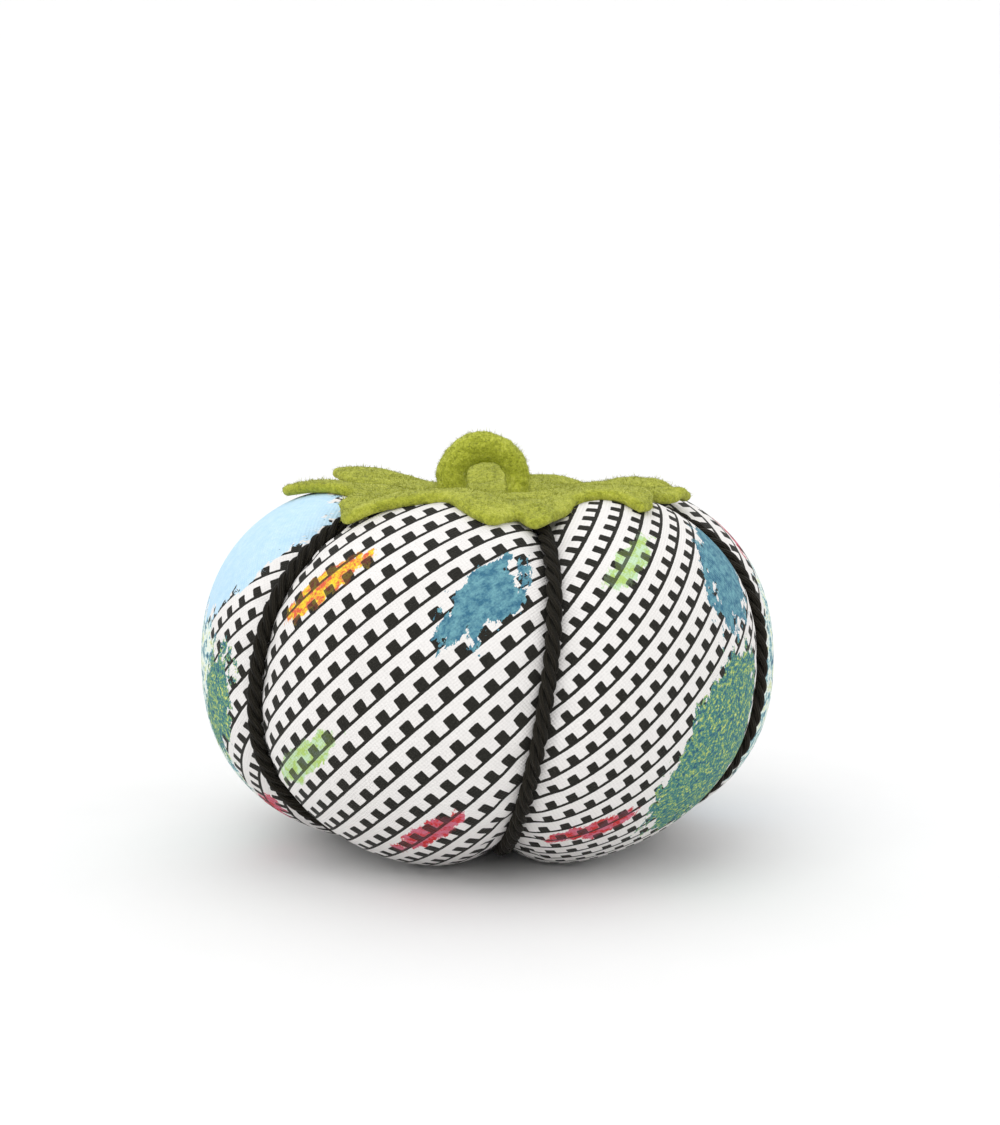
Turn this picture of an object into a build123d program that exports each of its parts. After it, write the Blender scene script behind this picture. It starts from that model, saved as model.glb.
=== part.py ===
from build123d import *
import math
import os

# A tomato-shaped pin cushion. Six printed fabric gores are sewn edge to edge and stuffed, a
# twisted cord lies over each seam, a felt calyx covers the top, and a bent felt tube stands
# on it as the stem. Millimetres, +Z up, front towards -Y. The origin is the middle of the
# footprint, on the surface that the cushion stands on.

# Body
body_radius = 45.0
equator_height = 28.6
upper_rise = 32.35  # from the equator to the top, before the dimple is drawn in
upper_roundness = 2.38  # exponent of the superellipse above the equator, 2 is an ellipse
lower_drop = 31.4
lower_roundness = 2.3
top_dimple_depth = 12.0
top_dimple_width = 17.0
shoulder_dent_depth = 0.75  # where the calyx presses on the lobes
shoulder_dent_radius = 20.0
shoulder_dent_width = 6.0
base_dimple_depth = 10.0
base_dimple_width = 11.5
pole_radius = 3.0  # where the gores are gathered, top and bottom

# Gores and seams
gore_count = 6
gore_angle = 360 / gore_count
first_seam_angle = -80.0  # plan angle at the equator
seam_lean = 0.2  # degrees that the seams drift round for each mm of height
equator_pull = 2.9  # how far the cord draws the seam in
pole_pull = 5.5
pull_fade = 6.8  # distance from the gathered ends over which the pull starts
lobe_fullness = 3.0  # power of the valley's shape at the equator, one less at the poles
fabric = 0.5
seam_allowance = 5.0
sewing_gap = 0.04  # half the gap between neighbouring gores
fill_gap = 0.1  # between the fabric and the stuffing
meridian_rows = 30
row_crowding = 0.5  # how much the rows close up towards the gathered ends, 0 is not at all
gore_columns = 14

# Cord over each seam
cord_radius = 1.2
cord_gap = 0.38
cord_end_radius = 5.6  # distance of its ends from the axis
cord_runs = 16

# Felt calyx
felt = 1.7
calyx_clearance = 0.3
calyx_floor_height = 52.9  # underside of the felt in the dimple
calyx_floor_radius = 8.6
calyx_rim_radius = 19.0
calyx_crest_radius = 23.0  # outside this the felt lies on the lobes
calyx_reach = 36.0
leaf_bulge = 0.05  # bow of each leaf edge as a share of its length
leaf_tip_width = 1.6
# Plan angle and radius of each leaf's tip and of the notch that follows it
leaves = [
    ((-90, 33.5), (-82, 30.5)),
    ((-78, 33.0), (-62, 27.0)),
    ((-48, 33.5), (-32, 28.0)),
    ((-12, 31.5), (5, 25.0)),
    ((22, 32.5), (40, 23.0)),
    ((54, 32.0), (72, 23.0)),
    ((91, 32.0), (114, 20.5)),
    ((142, 32.5), (166, 19.0)),
    ((190, 32.0), (211, 24.0)),
    ((233, 33.5), (257, 28.5)),
]

# Stem
stem_tube_radius = 2.3
stem_bend_radius = 5.1
stem_bend_height = 57.4  # centre of the half circle
stem_offset = -0.9  # of the arch's middle, to the left of the axis
stem_gap = 0.04  # between its ends and the calyx

# Tie through the middle
thread_radius = 0.4
knot_radius = 2.6
knot_height = 1.4

# Base patch and its stitches
patch_radius = 9.5
patch_thickness = 1.5
patch_height = 0.5  # underside above the surface that the cushion stands on
patch_stitches = 12
first_stitch_angle = 19.3  # puts a stitch on each side of every cord, clear of it
stitch_radius = 0.18
stitch_bite = 1.0  # length of each stitch on the underside of the patch
stitch_rise = 1.9


def top_height(radius):
    """Height of a lobe's ridge above the equator."""
    share = 1 - (radius / body_radius) ** upper_roundness
    dimple = top_dimple_depth * math.exp(-((radius / top_dimple_width) ** 2))
    from_dent = (radius - shoulder_dent_radius) / shoulder_dent_width
    dimple += shoulder_dent_depth * math.exp(-(from_dent**2))
    return equator_height + upper_rise * max(share, 0) ** (1 / upper_roundness) - dimple


def base_height(radius):
    """Height of a lobe's ridge below the equator."""
    share = 1 - (radius / body_radius) ** lower_roundness
    dimple = base_dimple_depth * math.exp(-((radius / base_dimple_width) ** 2))
    return equator_height - lower_drop * max(share, 0) ** (1 / lower_roundness) + dimple


def ridge(turn):
    """Radius and height of a lobe's ridge: turn 0 is the top pole and pi the bottom one."""
    if turn < math.pi / 2:
        radius = body_radius * math.sin(turn) ** (2 / upper_roundness)
        return radius, top_height(radius)
    radius = body_radius * math.sin(turn) ** (2 / lower_roundness)
    return radius, base_height(radius)


def turn_at(radius, roundness):
    """The turn, from its own pole, at which the ridge is that far from the axis."""
    return math.asin((radius / body_radius) ** (roundness / 2))


def turns(count, end_radius, crowding=0):
    """Turns between two points end_radius from the axis, top and bottom."""
    start = turn_at(end_radius, upper_roundness)
    end = math.pi - turn_at(end_radius, lower_roundness)
    shares = [i / count for i in range(count + 1)]
    shares = [share - crowding * math.sin(2 * math.pi * share) / (2 * math.pi) for share in shares]
    return [start + (end - start) * share for share in shares]


def gore_rows():
    return turns(meridian_rows, pole_radius, row_crowding)


def outward(turn):
    """Unit normal of the ridge line in its own plane, as radius and height."""
    step = 1e-3
    r0, z0 = ridge(turn - step)
    r1, z1 = ridge(turn + step)
    length = math.hypot(r1 - r0, z1 - z0)
    return (z0 - z1) / length, (r1 - r0) / length


def pull(turn):
    """How far the seam lies inside the ridge line."""
    depth = equator_pull + (pole_pull - equator_pull) * math.cos(turn) ** 2
    from_end = (ridge(turn)[0] - pole_radius) / pull_fade
    return depth * (1 - math.exp(-(from_end**2)))


def fullness(turn):
    """Power of the curve that each valley's side follows."""
    return lobe_fullness - math.cos(turn) ** 2


def section(turn, across, inset):
    """Radius and height on a lobe: across is 0 on its ridge and -1 and 1 on its seams."""
    radius, height = ridge(turn)
    out_r, out_z = outward(turn)
    depth = inset + pull(turn) * abs(across) ** fullness(turn)
    return radius - depth * out_r, height - depth * out_z


def place(radius, height, angle):
    """The point at a plan angle, moved round by the lean of the seams."""
    turned = math.radians(angle + seam_lean * (height - equator_height))
    return Vector(radius * math.cos(turned), radius * math.sin(turned), height)


def share_at(radius, margin):
    """The part of half a gore that is left inside a margin along its seam."""
    return 1 - math.degrees(margin / radius) / (gore_angle / 2)


def gore_middle(gore):
    """Plan angle of a gore's ridge at the equator."""
    return first_seam_angle + gore_angle * (gore + 0.5)


def lobe_point(gore, turn, across, inset, margin):
    """A point of a gore's face, inset below the lobe and kept a margin clear of its seams."""
    across *= share_at(section(turn, 1, inset)[0], margin)
    radius, height = section(turn, across, inset)
    return place(radius, height, gore_middle(gore) + across * gore_angle / 2)


def allowance_depth(turn):
    """Depth of the folded-in edge of a gore, less where it is gathered."""
    return seam_allowance * (1 - 0.75 * math.exp(-((ridge(turn)[0] / 9) ** 2)))


def allowance_point(gore, turn, side, margin, below=0):
    """A point of the folded-in edge's free border, or of a line below it."""
    radius, height = section(turn, 1, allowance_depth(turn) + below)
    across = side * share_at(radius, margin)
    return place(radius, height, gore_middle(gore) + across * gore_angle / 2)


def edge_at(face, point):
    """The face's edge nearest to a point."""
    return min(face.edges(), key=lambda edge: edge.distance_to(point))


def ruled(first, second):
    """The face of straight lines between two edges, whichever way each runs."""
    straight = (first @ 0 - second @ 0).length + (first @ 1 - second @ 1).length
    crossed = (first @ 0 - second @ 1).length + (first @ 1 - second @ 0).length
    if crossed < straight:
        second = second.reversed()
    return Face.make_surface_from_curves(first, second)


def line(start, end):
    return Edge.make_line(start, end)


def closed(faces):
    return Solid(Shell(faces))


def lobe_face(gore, inset, margin):
    """The smooth face of one gore, with its two seam edges and its two gathered edges."""
    rows = gore_rows()
    columns = [math.sin(math.pi * (i / gore_columns - 0.5)) for i in range(gore_columns + 1)]
    grid = [
        [lobe_point(gore, turn, across, inset, margin) for turn in rows] for across in columns
    ]
    face = Face.make_surface_from_array_of_points(grid, tol=1e-3)
    seams = [edge_at(face, column[len(rows) // 2]) for column in (grid[0], grid[-1])]
    ends = [edge_at(face, grid[gore_columns // 2][row]) for row in (0, -1)]
    return face, seams, ends


def free_edge(gore, side, margin, below=0):
    """The border of a gore's folded-in edge, from the top to the bottom."""
    rows = gore_rows()
    return Edge.make_spline([allowance_point(gore, turn, side, margin, below) for turn in rows])


def top_to_bottom(edge):
    return edge if (edge @ 0).Z > (edge @ 1).Z else edge.reversed()


def cover_panel(gore):
    """One gore: outer and inner face, both edges folded in, and a flat where it stands."""
    outer, outer_seams, outer_ends = lobe_face(gore, 0, sewing_gap)
    inner, inner_seams, inner_ends = lobe_face(gore, fabric, sewing_gap + fabric)
    faces = [outer, inner, *map(ruled, outer_ends, inner_ends)]
    for side, outer_seam, inner_seam in zip((-1, 1), outer_seams, inner_seams):
        outer_seam = top_to_bottom(outer_seam)
        inner_seam = top_to_bottom(inner_seam)
        outer_free = free_edge(gore, side, sewing_gap)
        inner_free = free_edge(gore, side, sewing_gap + fabric)
        faces += [
            ruled(outer_seam, outer_free),
            ruled(inner_seam, inner_free),
            ruled(outer_free, inner_free),
        ]
        for end in (0, 1):
            outer_fold = line(outer_seam @ end, outer_free @ end)
            inner_fold = line(inner_seam @ end, inner_free @ end)
            faces.append(ruled(outer_fold, inner_fold))
    footprint = Pos(0, 0, -body_radius) * Box(*[body_radius * 3] * 2, body_radius * 2)
    return closed(faces) - footprint


def stuffing():
    """The filling: a lobe in each gore, slots for the folded edges, a hole for the tie."""
    inset = fabric + fill_gap
    margin = inset + sewing_gap
    hole = thread_radius + fill_gap

    def at_hole(point):
        return Vector(point.X, point.Y, 0).normalized() * hole + Vector(0, 0, point.Z)

    def close_in(edge):
        """The faces from an edge at a gathered end to the hole, and the hole's own edge."""
        rim = line(at_hole(edge @ 0), at_hole(edge @ 1))
        return ruled(edge, rim), rim

    faces = []
    lobes = [lobe_face(gore, inset, margin) for gore in range(gore_count)]
    for gore, (face, seams, ends) in enumerate(lobes):
        after = (gore + 1) % gore_count
        left = top_to_bottom(seams[1])
        right = top_to_bottom(lobes[after][1][0])
        left_foot = free_edge(gore, 1, margin, fill_gap)
        right_foot = free_edge(after, -1, margin, fill_gap)
        faces += [face, ruled(left, left_foot), ruled(right, right_foot)]
        faces.append(ruled(left_foot, right_foot))
        slot_rims = []
        lobe_rims = []
        for end in (0, 1):
            across = line(left @ end, right @ end)
            faces.append(ruled(across, line(left_foot @ end, right_foot @ end)))
            slot_face, slot_rim = close_in(across)
            lobe_face_in, lobe_rim = close_in(ends[end])
            faces += [slot_face, lobe_face_in]
            slot_rims.append(slot_rim)
            lobe_rims.append(lobe_rim)
        faces += [ruled(*slot_rims), ruled(*lobe_rims)]
    return closed(faces)


def seam_cord(seam):
    """The cord that lies in one seam's valley, as straight runs joined by tangent arcs."""
    angle = first_seam_angle + gore_angle * seam
    points = []
    for turn in turns(cord_runs, cord_end_radius):
        half_width = ridge(turn)[0] * math.radians(gore_angle / 2)
        steepness = math.atan(fullness(turn) * pull(turn) / half_width)
        seat = cord_radius / math.cos(steepness) + cord_gap
        points.append(place(*section(turn, 1, -seat), angle))
    radii = []
    for before, corner, after in zip(points, points[1:], points[2:]):
        run = min((corner - before).length, (after - corner).length)
        bend = math.radians((corner - before).get_angle(after - corner))
        radii.append(0.45 * run / math.tan(bend / 2))
    path = FilletPolyline(*points, radius=radii)
    return sweep(Plane(path @ 0, z_dir=path % 0) * Circle(cord_radius), path=path)


def smooth_step(share):
    share = min(max(share, 0), 1)
    return share * share * (3 - 2 * share)


def calyx_underside(radius):
    """Height of the felt's underside: a floor in the dimple, a rim, then down the lobes."""
    if radius > calyx_crest_radius:
        return top_height(radius) + calyx_clearance
    crest = top_height(calyx_crest_radius) + calyx_clearance
    rise = (radius - calyx_floor_radius) / (calyx_rim_radius - calyx_floor_radius)
    return calyx_floor_height + (crest - calyx_floor_height) * smooth_step(rise)


def calyx_outline():
    """The star that the felt is cut to, with slightly bowed leaf edges and blunt tips."""

    def polar(angle, radius):
        return Vector(radius, 0).rotate(Axis.Z, angle)

    def bowed(start, end, bow):
        middle = (start + end) / 2
        side = (end - start).rotate(Axis.Z, -90) * bow
        return ThreePointArc(start, middle + side, end)

    edges = []
    notch = polar(*leaves[-1][1])
    for (angle, radius), next_notch in leaves:
        tip = polar(angle, radius)
        half_tip = Vector(0, leaf_tip_width / 2).rotate(Axis.Z, angle)
        edges += [
            bowed(notch, tip - half_tip, leaf_bulge),
            bowed(tip - half_tip, tip + half_tip, 0.3),
            bowed(tip + half_tip, polar(*next_notch), leaf_bulge),
        ]
        notch = polar(*next_notch)
    return make_face(Wire(edges))


def calyx():
    """Felt of even thickness, dished over the dimple and draped on the shoulders."""
    steps = 18
    step = 0.1
    lower = []
    upper = []
    for i in range(steps + 1):
        radius = calyx_reach * i / steps
        height = calyx_underside(radius)
        slope = math.atan2(calyx_underside(radius + step) - calyx_underside(radius - step), 2 * step)
        lower.append((radius, 0, height))
        upper.append((radius - felt * math.sin(slope), 0, height + felt * math.cos(slope)))
    border = [
        Spline(*lower),
        Line(lower[-1], upper[-1]),
        Spline(*upper[::-1]),
        Line(upper[0], lower[0]),
    ]
    sheet = revolve(make_face(Wire(border)), Axis.Z)
    return sheet & extrude(calyx_outline(), body_radius * 2)


def stem_loop():
    """A felt tube bent into an arch, with both ends on the calyx."""
    foot = calyx_floor_height + felt + stem_gap
    left = Vector(stem_offset - stem_bend_radius, 0, foot)
    right = Vector(stem_offset + stem_bend_radius, 0, foot)
    crown = Vector(stem_offset, 0, stem_bend_height + stem_bend_radius)
    spring = Vector(0, 0, stem_bend_height - foot)
    path = Wire(
        [
            Line(left, left + spring),
            ThreePointArc(left + spring, crown, right + spring),
            Line(right + spring, right),
        ]
    )
    return sweep(Plane(left, z_dir=(0, 0, 1)) * Circle(stem_tube_radius), path=path)


def tie_ends():
    """Heights of the gathered edges, where the tie's knots sit."""
    return top_height(pole_radius), base_height(pole_radius)


def tie_thread():
    """The thread up the middle that draws in both dimples."""
    top, base = tie_ends()
    return Pos(0, 0, (top + base) / 2) * Cylinder(thread_radius, top - base)


def tie_knots():
    """A flat knot on each end of the tie, in the ring of gathered fabric."""
    knot = Cylinder(knot_radius, knot_height)
    knot = fillet(knot.edges(), knot_height / 3)
    top, base = tie_ends()
    return [
        Pos(0, 0, top + knot_height / 2) * knot,
        Pos(0, 0, base - knot_height / 2) * knot,
    ]


def base_patch():
    """A felt disc that hides the gathers and the ends of the cords."""
    disc = Cylinder(patch_radius, patch_thickness)
    disc = fillet(disc.edges(), patch_thickness / 4)
    return Pos(0, 0, patch_height + patch_thickness / 2) * disc


def base_patch_stitches():
    """Whip stitches round the rim of the patch, each a bent length of thread."""
    low = patch_height - stitch_radius
    outside = patch_radius + stitch_radius
    start = Vector(patch_radius - stitch_bite, 0, low)
    path = FilletPolyline(
        start, (outside, 0, low), (outside, 0, low + stitch_rise), radius=stitch_radius * 2
    )
    stitch = sweep(Plane(start, z_dir=(1, 0, 0)) * Circle(stitch_radius), path=path)
    turn = 360 / patch_stitches
    return [Rot(0, 0, first_stitch_angle + turn * i) * stitch for i in range(patch_stitches)]


def write(name, shape):
    """Write one sub-part, which may be a group of like solids."""
    if isinstance(shape, list):
        shape = Compound(children=[Part(item.wrapped) for item in shape])
    export_step(shape, f"parts/{name}.step")


os.makedirs("parts", exist_ok=True)
for number in range(gore_count):
    write(f"cover_panel_{number + 1}", cover_panel(number))
    write(f"seam_cord_{number + 1}", seam_cord(number))
write("stuffing", stuffing())
write("calyx", calyx())
write("stem_loop", stem_loop())
write("tie_thread", tie_thread())
write("tie_knots", tie_knots())
write("base_patch", base_patch())
write("base_patch_stitches", base_patch_stitches())
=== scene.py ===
import math

import bpy
import numpy as np
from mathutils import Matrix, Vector
from mathutils.geometry import delaunay_2d_cdt


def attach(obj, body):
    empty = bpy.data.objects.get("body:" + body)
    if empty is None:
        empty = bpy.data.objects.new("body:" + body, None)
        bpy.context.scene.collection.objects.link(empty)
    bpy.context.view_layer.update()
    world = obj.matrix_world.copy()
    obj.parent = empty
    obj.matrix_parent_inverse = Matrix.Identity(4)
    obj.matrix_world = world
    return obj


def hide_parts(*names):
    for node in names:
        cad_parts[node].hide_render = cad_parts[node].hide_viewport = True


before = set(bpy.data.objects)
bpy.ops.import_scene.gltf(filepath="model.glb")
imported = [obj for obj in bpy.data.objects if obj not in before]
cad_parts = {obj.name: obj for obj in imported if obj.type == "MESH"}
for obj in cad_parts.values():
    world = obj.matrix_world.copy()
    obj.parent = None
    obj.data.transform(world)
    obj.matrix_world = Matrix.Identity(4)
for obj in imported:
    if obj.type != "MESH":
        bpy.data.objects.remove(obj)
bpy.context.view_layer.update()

# Lengths are in millimetres until a mesh is made, because everything here is small.
MM = 0.001
RNG = np.random.default_rng(7)

# -------- body shape, as in the CAD
BODY_RADIUS = 45.0
EQUATOR = 28.6
UPPER_RISE, UPPER_ROUND = 32.35, 2.38
LOWER_DROP, LOWER_ROUND = 31.4, 2.3
TOP_DIMPLE, TOP_DIMPLE_WIDTH = 12.0, 17.0
DENT, DENT_RADIUS, DENT_WIDTH = 0.75, 20.0, 6.0  # where the felt presses on the shoulders
BASE_DIMPLE, BASE_DIMPLE_WIDTH = 10.0, 11.5
POLE = 3.0
GORES = 6
GORE_ANGLE = 360 / GORES
FIRST_SEAM = -80.0
LEAN = 0.2
EQUATOR_PULL, POLE_PULL, PULL_FADE = 2.9, 5.5, 6.8
LOBE_FULLNESS = 3.0
FABRIC = 0.5
CORD_RADIUS, CORD_GAP, CORD_END = 1.2, 0.38, 5.6
FELT = 1.7


def top_height(r):
    share = np.maximum(1 - (r / BODY_RADIUS) ** UPPER_ROUND, 0)
    dimple = TOP_DIMPLE * np.exp(-((r / TOP_DIMPLE_WIDTH) ** 2))
    dimple = dimple + DENT * np.exp(-(((r - DENT_RADIUS) / DENT_WIDTH) ** 2))
    return EQUATOR + UPPER_RISE * share ** (1 / UPPER_ROUND) - dimple


def base_height(r):
    share = np.maximum(1 - (r / BODY_RADIUS) ** LOWER_ROUND, 0)
    dimple = BASE_DIMPLE * np.exp(-((r / BASE_DIMPLE_WIDTH) ** 2))
    return EQUATOR - LOWER_DROP * share ** (1 / LOWER_ROUND) + dimple


def ridge(turn):
    """Radius and height of a lobe's ridge, from the top pole, 0, to the bottom one, pi."""
    turn = np.asarray(turn, float)
    up = turn < math.pi / 2
    sine = np.abs(np.sin(turn))
    r = BODY_RADIUS * np.where(up, sine ** (2 / UPPER_ROUND), sine ** (2 / LOWER_ROUND))
    return r, np.where(up, top_height(r), base_height(r))


def turn_at(radius, roundness):
    return np.arcsin(np.clip(radius / BODY_RADIUS, 0, 1) ** (roundness / 2))


def outward(turn):
    r0, z0 = ridge(turn - 1e-3)
    r1, z1 = ridge(turn + 1e-3)
    length = np.hypot(r1 - r0, z1 - z0)
    return (z0 - z1) / length, (r1 - r0) / length


def pull(turn):
    depth = EQUATOR_PULL + (POLE_PULL - EQUATOR_PULL) * np.cos(turn) ** 2
    return depth * (1 - np.exp(-(((ridge(turn)[0] - POLE) / PULL_FADE) ** 2)))


def fullness(turn):
    return LOBE_FULLNESS - np.cos(turn) ** 2


def section(turn, across, inset=0.0):
    """Radius and height of the cover, where across is 0 on a lobe's ridge and 1 or -1 on its seams."""
    r, z = ridge(turn)
    out_r, out_z = outward(turn)
    depth = inset + pull(turn) * np.abs(across) ** fullness(turn)
    return r - depth * out_r, z - depth * out_z


def place(r, z, angle):
    """Points from radius, height and plan angle, with the lean of the seams."""
    turned = np.radians(angle + LEAN * (z - EQUATOR))
    return np.stack([r * np.cos(turned), r * np.sin(turned), z], -1)


def arc_length(line):
    """Distance along a line of points, at each of them."""
    return np.concatenate([[0], np.cumsum(np.linalg.norm(np.diff(line, axis=0), axis=1))])


def resample(line, run, at):
    """Points of a line at distances along it, where run is the distance at each of its points."""
    return np.stack([np.interp(at, run, values) for values in line.T], -1)


def unit(vectors):
    return vectors / np.linalg.norm(vectors, axis=-1, keepdims=True)


START = turn_at(POLE, UPPER_ROUND)
END = math.pi - turn_at(POLE, LOWER_ROUND)
_turns = np.linspace(START, END, 2001)
_run = arc_length(np.stack(ridge(_turns), -1))
_run = np.interp(math.pi / 2, _turns, _run) - _run  # distance above the equator along a ridge


def turn_along(distance):
    return np.interp(-distance, -_run, _turns)


def along(turn):
    return np.interp(turn, _turns, _run)


def half_width(turn):
    return ridge(turn)[0] * math.radians(GORE_ANGLE / 2)


def gore_middle(gore):
    return FIRST_SEAM + GORE_ANGLE * (gore + 0.5)


# -------- mesh helpers
def normals_of(grid):
    """Unit normals of a grid of points, from its neighbours."""
    du = np.gradient(grid, axis=0)
    dv = np.gradient(grid, axis=1)
    n = np.cross(du, dv)
    return n / np.maximum(np.linalg.norm(n, axis=-1, keepdims=True), 1e-9)


def make_object(name, points, faces):
    mesh = bpy.data.meshes.new(name)
    mesh.from_pydata((np.asarray(points) * MM).tolist(), [], faces)
    mesh.validate()
    mesh.polygons.foreach_set("use_smooth", [True] * len(mesh.polygons))
    mesh.update()
    piece = bpy.data.objects.new(name, mesh)
    bpy.context.scene.collection.objects.link(piece)
    return piece


def add_attribute(piece, name, values):
    values = np.asarray(values, np.float32)
    kind = "FLOAT" if values.ndim == 1 else "FLOAT_VECTOR"
    layer = piece.data.attributes.new(name, kind, "POINT")
    layer.data.foreach_set("value" if values.ndim == 1 else "vector", values.ravel())


def grid_faces(rows, columns, first=0, flip=False, wrap=False):
    """Quads of a grid whose points are stored row by row. wrap joins the last column to the first."""
    faces = []
    for i in range(rows - 1):
        for j in range(columns if wrap else columns - 1):
            k = (j + 1) % columns
            quad = (i * columns + j, i * columns + k, (i + 1) * columns + k, (i + 1) * columns + j)
            faces.append(tuple(first + q for q in (quad[::-1] if flip else quad)))
    return faces


def rim_of(rows, columns):
    """The numbers of the points round the edge of a grid, in order."""
    index = np.arange(rows * columns).reshape(rows, columns)
    return np.concatenate([index[0], index[1:, -1], index[-1, -2::-1], index[-2:0:-1, 0]]).tolist()


def slab(name, outer, inner):
    """A closed sheet between two grids of the same size."""
    rows, columns = outer.shape[:2]
    count = rows * columns
    faces = grid_faces(rows, columns) + grid_faces(rows, columns, count, flip=True)
    rim = rim_of(rows, columns)
    faces += [(b, a, a + count, b + count) for a, b in zip(rim, rim[1:] + rim[:1])]
    return make_object(name, np.concatenate([outer, inner]).reshape(-1, 3), faces)


def around(sides):
    """Even angles round a circle."""
    return np.arange(sides) * 2 * math.pi / sides


def across_path(path, normals):
    """Two unit vectors across a path at each of its points, the first one towards the normal."""
    tangent = unit(np.gradient(path, axis=0))
    first = unit(normals - (normals * tangent).sum(1, keepdims=True) * tangent)
    return first, np.cross(tangent, first)


def tube_points(path, normals, radii, sides):
    """Rings of points round a path. radii holds one radius for each ring or for each point."""
    first, second = across_path(path, normals)
    angle = around(sides)[None, :, None]
    radii = np.broadcast_to(np.asarray(radii, float).reshape(len(path), -1), (len(path), sides))
    ring = np.cos(angle) * first[:, None] + np.sin(angle) * second[:, None]
    return path[:, None] + ring * radii[..., None]


def smooth_step(x):
    x = np.clip(x, 0, 1)
    return x * x * (3 - 2 * x)


def waves(points, scale, seed, octaves=3):
    """Smooth noise about 0 for an array of points: sums of sines in random directions."""
    rng = np.random.default_rng(seed)
    total = np.zeros(points.shape[:-1])
    weight = 1.0
    for octave in range(octaves):
        for _ in range(6):
            direction = rng.normal(size=3)
            direction *= 2 * math.pi / (np.linalg.norm(direction) * scale * rng.uniform(0.7, 1.4))
            total += weight * np.sin(points @ direction + rng.uniform(0, 2 * math.pi)) / 3
        scale *= 0.5
        weight *= 0.5
    return total


def triangle_corners(piece):
    """The three corners of each triangle of a piece, in metres."""
    mesh = piece.data
    mesh.calc_loop_triangles()
    corners = np.zeros(len(mesh.vertices) * 3)
    mesh.vertices.foreach_get("co", corners)
    index = np.zeros(len(mesh.loop_triangles) * 3, int)
    mesh.loop_triangles.foreach_get("vertices", index)
    return [corners.reshape(-1, 3)[index.reshape(-1, 3)[:, i]] for i in range(3)]


def flip_if_inside_out(piece):
    """Faces outwards on a closed mesh, from the sign of its volume."""
    a, b, c = triangle_corners(piece)
    if (a * np.cross(b, c)).sum() < 0:
        piece.data.flip_normals()


def finish_closed(piece, rest, material, slot, *nodes):
    """The last steps for a closed piece. Its material reads rest, the place of each of its points."""
    flip_if_inside_out(piece)
    add_attribute(piece, "rest", rest)
    dress(piece, material, slot, *nodes)


def dress(piece, material, slot, *nodes):
    """A piece's material and body, and the CAD nodes that it replaces. slot is not used."""
    piece.data.materials.append(material)
    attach(piece, "root")
    if nodes:
        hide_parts(*nodes)


# -------- shader helpers
class Num:
    """A number in a shader: sums and comparisons on it add Math nodes."""

    def __init__(self, tree, socket):
        self.tree, self.socket = tree, socket

    def op(self, operation, *others, clamp=False):
        node = self.tree.nodes.new("ShaderNodeMath")
        node.operation = operation
        node.use_clamp = clamp
        for i, value in enumerate((self, *others)):
            if isinstance(value, Num):
                self.tree.links.new(value.socket, node.inputs[i])
            else:
                node.inputs[i].default_value = value
        return Num(self.tree, node.outputs[0])

    def above(self, limit=0.0, soft=0.05):
        """1 where it is above the limit, 0 below, over a soft edge."""
        return (self - limit).op("MULTIPLY_ADD", 1 / soft, 0.5, clamp=True)

    def flip(self):
        return self * -1.0 + 1.0


for method, operation in {
    "__add__": "ADD", "__sub__": "SUBTRACT", "__mul__": "MULTIPLY", "__truediv__": "DIVIDE",
    "floor": "FLOOR", "fract": "FRACT", "sine": "SINE", "size": "ABSOLUTE", "most": "MAXIMUM",
}.items():
    setattr(Num, method, lambda self, *others, operation=operation: self.op(operation, *others))


class Shader:
    """A material with one Principled shader and short ways to add to it."""

    def __init__(self, name, **sockets):
        self.material = bpy.data.materials.new(name)
        self.material.use_nodes = True
        self.tree = self.material.node_tree
        self.main = self.tree.nodes["Principled BSDF"]
        for key, value in sockets.items():
            self.main.inputs[key.replace("_", " ")].default_value = value

    def add(self, kind, **settings):
        node = self.tree.nodes.new("ShaderNode" + kind)
        for key, value in settings.items():
            setattr(node, key, value)
        return node

    def link(self, source, target):
        self.tree.links.new(source.socket if isinstance(source, Num) else source, target)

    def attribute(self, name):
        node = self.add("Attribute", attribute_type="GEOMETRY", attribute_name=name)
        return node.outputs["Vector"]

    def parts(self, vector):
        node = self.add("SeparateXYZ")
        self.link(vector, node.inputs[0])
        return [Num(self.tree, node.outputs[i]) for i in range(3)]

    def noise(self, vector, scale, detail=2.0, roughness=0.5):
        node = self.add("TexNoise")
        self.link(vector, node.inputs["Vector"])
        node.inputs["Scale"].default_value = scale
        node.inputs["Detail"].default_value = detail
        node.inputs["Roughness"].default_value = roughness
        return Num(self.tree, node.outputs["Fac"])

    def mix(self, factor, low, high):
        node = self.add("Mix", data_type="RGBA")
        for value, socket in ((factor, node.inputs[0]), (low, node.inputs[6]), (high, node.inputs[7])):
            if isinstance(value, (Num, bpy.types.NodeSocket)):
                self.link(value, socket)
            elif isinstance(value, (tuple, list)):
                socket.default_value = (*value, 1.0)
            else:
                socket.default_value = value
        return node.outputs[2]

    def ramp(self, factor, *stops):
        node = self.add("ValToRGB")
        elements = node.color_ramp.elements
        while len(elements) < len(stops):
            elements.new(0.5)
        for element, (position, color) in zip(elements, stops):
            element.position = position
            element.color = (*color, 1.0)
        self.link(factor, node.inputs[0])
        return node.outputs[0]

    def bump(self, height, distance, strength):
        node = self.add("Bump")
        node.inputs["Strength"].default_value = strength
        node.inputs["Distance"].default_value = distance
        self.link(height, node.inputs["Height"])
        self.link(node.outputs[0], self.main.inputs["Normal"])

    def color(self, socket):
        self.link(socket, self.main.inputs["Base Color"])

    def roughness(self, number):
        self.link(number, self.main.inputs["Roughness"])


# -------- printed cotton
THREAD_PITCH = 0.62


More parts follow.
